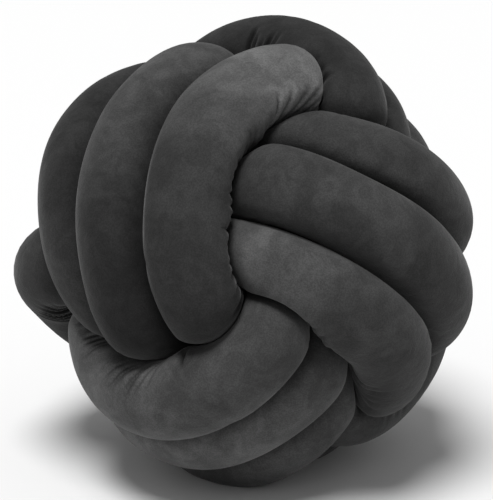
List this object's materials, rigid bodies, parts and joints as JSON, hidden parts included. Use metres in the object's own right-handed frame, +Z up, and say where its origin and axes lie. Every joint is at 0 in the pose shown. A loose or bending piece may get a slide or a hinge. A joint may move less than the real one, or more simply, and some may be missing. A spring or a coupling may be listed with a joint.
{
  "type": "knotted cuddle ball cushion",
  "caption": "Round cushion wound from one long stuffed velvet tube into a ball knot, with three interlocked bands of side-by-side strands and no visible ends.",
  "frame": {"origin": "on the surface the ball rests on, straight below the middle of its bounding box", "axes": "+Z up; -Y towards the front, the side that the picture shows; +X to the right as seen from the front"},
  "size_m": [0.2952, 0.2796, 0.2894],
  "materials": {
    "velvet": "short-pile velvet, dark charcoal, brushed in patches"
  },
  "bodies": {
    "root": {"knot_tube": "velvet"}
  },
  "joints": []
}
